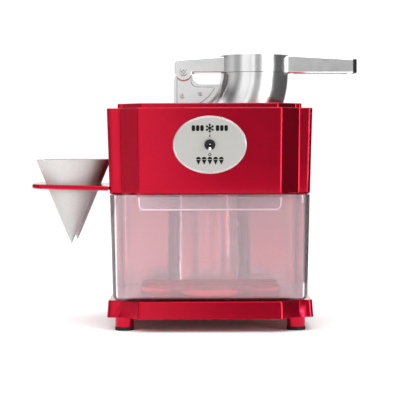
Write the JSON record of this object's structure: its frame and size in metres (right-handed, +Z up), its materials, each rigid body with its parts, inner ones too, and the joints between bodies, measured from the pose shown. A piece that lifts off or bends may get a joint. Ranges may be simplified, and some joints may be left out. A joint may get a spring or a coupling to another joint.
{
  "type": "shaved ice machine",
  "caption": "Countertop shaved ice machine: stepped red cabinet, curved cast chute with a lever lid, clear ice bin and a side rack of paper cones.",
  "frame": {"origin": "on the floor, under the middle of the whole machine's bounding box", "axes": "+X along the machine's width towards the lever handle, +Y to the back, +Z up"},
  "size_m": [0.432, 0.2822, 0.356],
  "materials": {
    "red_gloss": "deep metallic red, clear coated plastic",
    "cast_aluminium": "satin polished casting",
    "bright_nickel": "bright nickel plate",
    "steel": "stainless, fine brushed",
    "clear_plastic": "clear moulded plastic",
    "black_plastic": "black, satin",
    "black_rubber": "matt black rubber",
    "brushed_badge": "fine brushed, clear coated",
    "white_plastic": "white food-grade plastic",
    "motor_steel": "zinc plated steel",
    "paper": "uncoated white paper",
    "bronze_bush": "oiled bronze"
  },
  "bodies": {
    "cabinet": {"base_shell": "red_gloss", "base_cover": "red_gloss", "foot_pads": "black_rubber", "foot_screws": "steel", "rear_wall": "red_gloss", "upper_housing": "red_gloss", "top_deck": "red_gloss", "housing_floor": "white_plastic", "rear_cover": "red_gloss", "rear_cover_screws": "steel", "cord_gland": "black_plastic", "badge_plate": "brushed_badge", "switch_body": "black_plastic", "switch_nut": "black_plastic", "ice_chute": "cast_aluminium", "hinge_bracket": "cast_aluminium", "bracket_plate_front": "cast_aluminium", "bracket_plate_rear": "cast_aluminium", "bracket_screws_front": "bright_nickel", "bracket_screws_rear": "bright_nickel", "bracket_bolts": "steel", "bearing_plate_inner": "steel", "bearing_plate_outer": "steel", "shaft_bushes": "bronze_bush", "plate_spacers": "steel", "motor_can": "motor_steel", "motor_end_cap": "black_plastic", "discharge_hood": "white_plastic"},
    "lever": {"lever": "cast_aluminium", "lever_end_cap": "black_plastic", "pusher": "white_plastic", "pivot_pin": "steel", "pivot_screws": "bright_nickel"},
    "blade_drive": {"blade_disc": "steel", "blade_knives": "steel", "knife_screws": "steel", "blade_shaft": "steel", "blade_nut": "steel", "blade_gear": "white_plastic"},
    "motor_rotor": {"motor_shaft": "steel", "motor_pinion": "bronze_bush"},
    "toggle": {"switch_toggle": "bright_nickel"},
    "bin": {"ice_bin": "clear_plastic"},
    "tray": {"drip_tray": "red_gloss"},
    "holder": {"cone_holder": "red_gloss"},
    "cone_front": {"cone_front": "paper"},
    "cone_rear": {"cone_rear": "paper"}
  },
  "joints": [
    {"name": "lever_hinge", "type": "hinge", "parent": "cabinet", "child": "lever", "pos_m": [-0.015, 0, 0.334], "axis": [0, -1, 0], "range_deg": [0, 80]},
    {"name": "blade_spin", "type": "hinge", "parent": "cabinet", "child": "blade_drive", "pos_m": [-0.012, 0, 0.236], "axis": [1, 0, 0], "continuous": true},
    {"name": "motor_spin", "type": "hinge", "parent": "cabinet", "child": "motor_rotor", "pos_m": [-0.06, 0.04, 0.236], "axis": [1, 0, 0], "continuous": true},
    {"name": "switch_throw", "type": "hinge", "parent": "cabinet", "child": "toggle", "pos_m": [0.019, -0.12619, 0.23692], "axis": [-1, 0, 0], "range_deg": [0, 44]},
    {"name": "bin_slide", "type": "slide", "parent": "cabinet", "child": "bin", "axis": [0, -1, 0], "range_m": [0, 0.22]},
    {"name": "tray_lift", "type": "slide", "parent": "bin", "child": "tray", "axis": [0, 0, 1], "range_m": [0, 0.1]},
    {"name": "holder_pull", "type": "slide", "parent": "cabinet", "child": "holder", "axis": [-1, 0, 0], "range_m": [0, 0.03]},
    {"name": "cone_front_lift", "type": "slide", "parent": "holder", "child": "cone_front", "axis": [0, 0, 1], "range_m": [0, 0.12]},
    {"name": "cone_rear_lift", "type": "slide", "parent": "holder", "child": "cone_rear", "axis": [0, 0, 1], "range_m": [0, 0.12]}
  ],
  "couplings": [
    {"joint": "motor_spin", "follows": "blade_spin", "ratio": -3}
  ]
}
